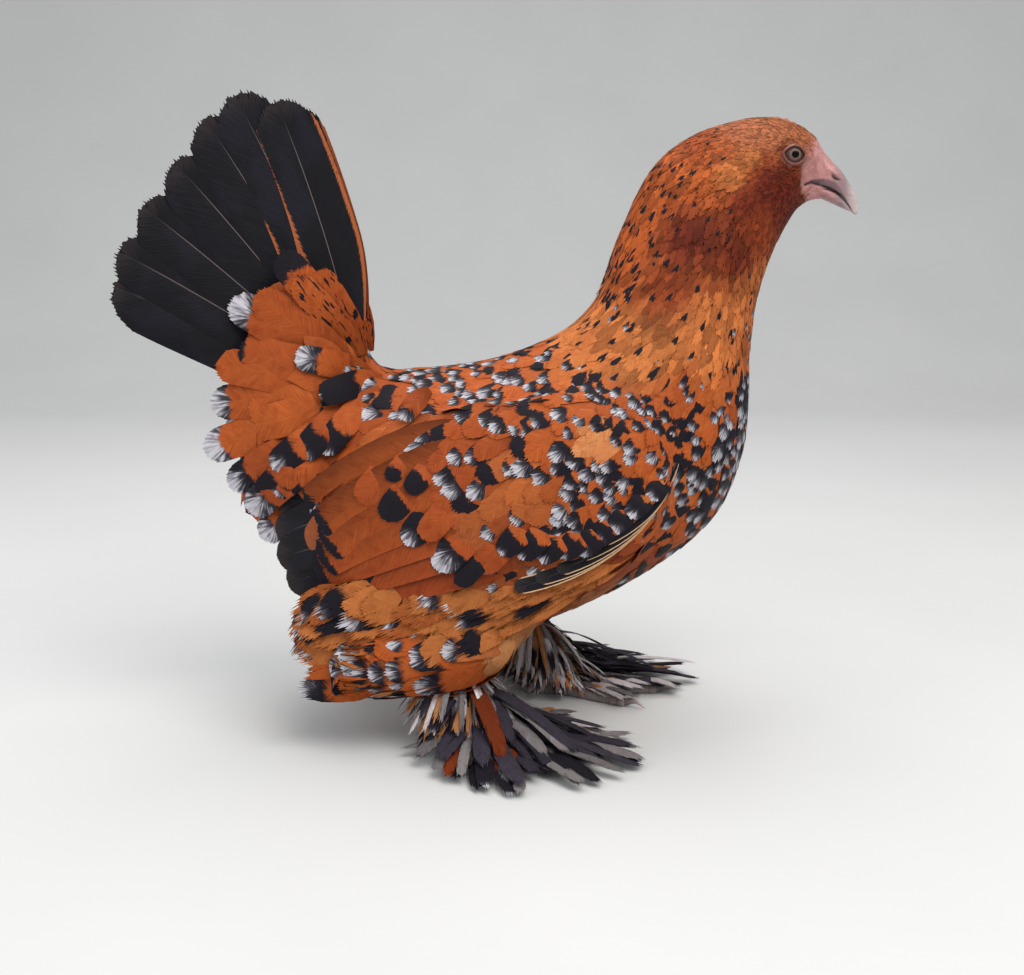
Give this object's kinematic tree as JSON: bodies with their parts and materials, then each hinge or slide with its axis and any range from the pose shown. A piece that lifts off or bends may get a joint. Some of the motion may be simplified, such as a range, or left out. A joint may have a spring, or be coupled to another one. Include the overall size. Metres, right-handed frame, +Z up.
{
  "type": "booted bantam chicken",
  "caption": "Still life-size model of a standing feather-footed bantam pullet with an upright spread tail, folded wings, hock plumes and booted feet.",
  "frame": {"origin": "on the floor, under the middle of the bird's bounding box", "axes": "+X towards the head, +Y towards the bird's left, +Z up"},
  "size_m": [0.2832, 0.165, 0.2517],
  "materials": {
    "plumage": "soft matte feather",
    "tail": "black feather with a slight sheen",
    "skin": "bare face skin, fine folds",
    "bill": "horn, satin",
    "eye": "wet and glossy",
    "scales": "horny scales, satin"
  },
  "bodies": {
    "root": {"bill_lower": "bill", "bill_upper": "bill", "boot_left": "plumage", "boot_right": "plumage", "claw_hind_left": "bill", "claw_hind_right": "bill", "claw_inner_left": "bill", "claw_inner_right": "bill", "claw_middle_left": "bill", "claw_middle_right": "bill", "claw_outer_left": "bill", "claw_outer_right": "bill", "comb": "skin", "eye_left": "eye", "eye_right": "eye", "foot_left": "scales", "foot_right": "scales", "head": "plumage", "hock_plume_left": "plumage", "hock_plume_right": "plumage", "neck": "plumage", "shank_left": "scales", "shank_right": "scales", "tail_coverts": "plumage", "tail_left_1": "tail", "tail_left_2": "tail", "tail_left_3": "tail", "tail_left_4": "tail", "tail_left_5": "tail", "tail_left_6": "tail", "tail_left_7": "tail", "tail_right_1": "tail", "tail_right_2": "tail", "tail_right_3": "tail", "tail_right_4": "tail", "tail_right_5": "tail", "tail_right_6": "tail", "tail_right_7": "tail", "thigh_left": "plumage", "thigh_right": "plumage", "trunk": "plumage", "wing_left": "plumage", "wing_right": "plumage"}
  },
  "joints": []
}
